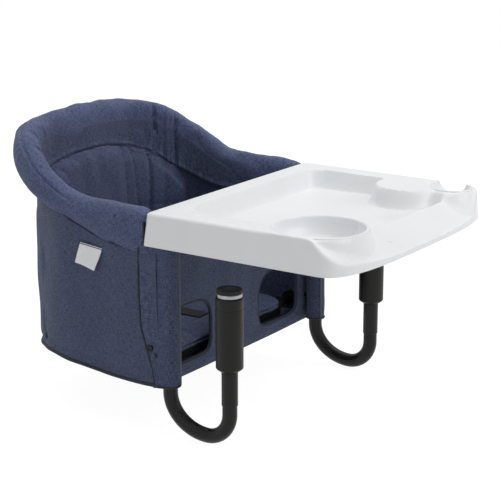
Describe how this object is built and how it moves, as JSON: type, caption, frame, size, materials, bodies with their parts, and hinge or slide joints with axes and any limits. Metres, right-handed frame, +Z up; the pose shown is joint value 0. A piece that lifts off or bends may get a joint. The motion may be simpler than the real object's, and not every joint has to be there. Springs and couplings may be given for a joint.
{
  "type": "hook on table chair",
  "caption": "Cloth child's seat that hangs on a table edge by two screw clamps, with a padded folding rim, folding base and a moulded tray with a pan, bowl and cup place.",
  "frame": {"origin": "on the table top, midway between the two upright posts", "axes": "+X to the child's left, +Y away from the table towards the backrest, +Z up"},
  "size_m": [0.39, 0.5745, 0.3785],
  "materials": {
    "blue_cloth": "heathered woven cloth",
    "lining_cloth": "heathered woven cloth",
    "dark_cloth": "dark binding cloth",
    "white_cloth": "smooth label cloth, bare",
    "black_tube": "satin black powder coat",
    "black_plastic": "matt black moulding",
    "rubber": "matt",
    "steel": "plain",
    "white_plastic": "gloss white moulding",
    "board": "raw hardboard"
  },
  "bodies": {
    "seat_frame": {"right_post_tube": "black_tube", "left_post_tube": "black_tube", "right_sleeve": "dark_cloth", "left_sleeve": "dark_cloth", "right_elbow": "black_plastic", "left_elbow": "black_plastic", "right_upper_arm": "black_tube", "left_upper_arm": "black_tube", "right_grip": "rubber", "left_grip": "rubber", "right_arm_cap": "black_plastic", "left_arm_cap": "black_plastic", "right_hinge_bracket": "black_plastic", "left_hinge_bracket": "black_plastic", "right_hinge_pin": "steel", "left_hinge_pin": "steel", "right_lower_bracket": "black_tube", "left_lower_bracket": "black_tube", "right_eyelet": "steel", "left_eyelet": "steel", "right_button_spring": "steel", "left_button_spring": "steel", "cross_tube": "black_tube", "side_panel": "blue_cloth", "back_cushion": "lining_cloth", "front_panel": "blue_cloth", "label_tag": "white_cloth"},
    "right_clamp": {"right_clamp_tube": "black_tube", "right_leg_cover": "black_plastic", "right_nut": "steel"},
    "left_clamp": {"left_clamp_tube": "black_tube", "left_leg_cover": "black_plastic", "left_nut": "steel"},
    "right_pad": {"right_pad_plate": "steel", "right_pad_rubber": "rubber"},
    "left_pad": {"left_pad_plate": "steel", "left_pad_rubber": "rubber"},
    "right_twist": {"right_knob": "black_plastic", "right_screw": "steel"},
    "left_twist": {"left_knob": "black_plastic", "left_screw": "steel"},
    "right_lock": {"right_lock_button": "black_plastic"},
    "left_lock": {"left_lock_button": "black_plastic"},
    "rim": {"rim_tube": "black_tube", "rim_pad": "blue_cloth", "right_rim_knuckle": "black_plastic", "left_rim_knuckle": "black_plastic"},
    "base": {"base_hinge": "black_plastic", "base_board": "board", "seat_cushion": "lining_cloth", "crotch_strap": "dark_cloth", "right_waist_strap": "dark_cloth", "left_waist_strap": "dark_cloth", "buckle": "black_plastic"},
    "buckle_release": {"buckle_button": "black_plastic"},
    "tray_body": {"tray": "white_plastic", "right_tray_clip": "white_plastic", "left_tray_clip": "white_plastic"}
  },
  "joints": [
    {"name": "right_clamp_swing", "type": "hinge", "parent": "seat_frame", "child": "right_clamp", "pos_m": [-0.176, 0, -0.15], "axis": [0, 0, 1], "range_deg": [0, 90]},
    {"name": "left_clamp_swing", "type": "hinge", "parent": "seat_frame", "child": "left_clamp", "pos_m": [0.176, 0, -0.15], "axis": [0, 0, -1], "range_deg": [0, 90]},
    {"name": "right_pad_rise", "type": "slide", "parent": "right_clamp", "child": "right_pad", "axis": [0, 0, 1], "range_m": [-0.0441, 0.0211]},
    {"name": "left_pad_rise", "type": "slide", "parent": "left_clamp", "child": "left_pad", "axis": [0, 0, 1], "range_m": [-0.0441, 0.0211]},
    {"name": "right_knob_turn", "type": "hinge", "parent": "right_pad", "child": "right_twist", "pos_m": [-0.176, -0.092, -0.1], "axis": [0, 0, 1], "range_deg": [-1584, 756]},
    {"name": "left_knob_turn", "type": "hinge", "parent": "left_pad", "child": "left_twist", "pos_m": [0.176, -0.092, -0.1], "axis": [0, 0, 1], "range_deg": [-1584, 756]},
    {"name": "right_lock_press", "type": "slide", "parent": "seat_frame", "child": "right_lock", "axis": [0.682, -0.7314, 0], "range_m": [0, 0.0035], "stiffness_N_per_m": 400, "springref_m": -0.002, "deforming": ["right_button_spring"]},
    {"name": "left_lock_press", "type": "slide", "parent": "seat_frame", "child": "left_lock", "axis": [-0.682, -0.7314, 0], "range_m": [0, 0.0035], "stiffness_N_per_m": 400, "springref_m": -0.002, "deforming": ["left_button_spring"]},
    {"name": "rim_fold", "type": "hinge", "parent": "seat_frame", "child": "rim", "pos_m": [0, 0.062, 0.012], "axis": [-1, 0, 0], "range_deg": [0, 90], "deforming": ["side_panel", "back_cushion", "label_tag"]},
    {"name": "base_fold", "type": "hinge", "parent": "seat_frame", "child": "base", "pos_m": [0, 0.045, -0.163], "axis": [1, 0, 0], "range_deg": [0, 80]},
    {"name": "buckle_press", "type": "slide", "parent": "base", "child": "buckle_release", "axis": [0, 0, -1], "range_m": [0, 0.002], "stiffness_N_per_m": 300, "springref_m": -0.001},
    {"name": "tray_lift", "type": "slide", "parent": "seat_frame", "child": "tray_body", "axis": [0, 0, 1], "range_m": [0, 0.1]}
  ],
  "couplings": [
    {"joint": "right_pad_rise", "follows": "right_knob_turn", "m_per_rad": 0.0015915},
    {"joint": "left_pad_rise", "follows": "left_knob_turn", "m_per_rad": 0.0015915},
    {"joint": "base_fold", "follows": "rim_fold", "ratio": 0.88889}
  ]
}
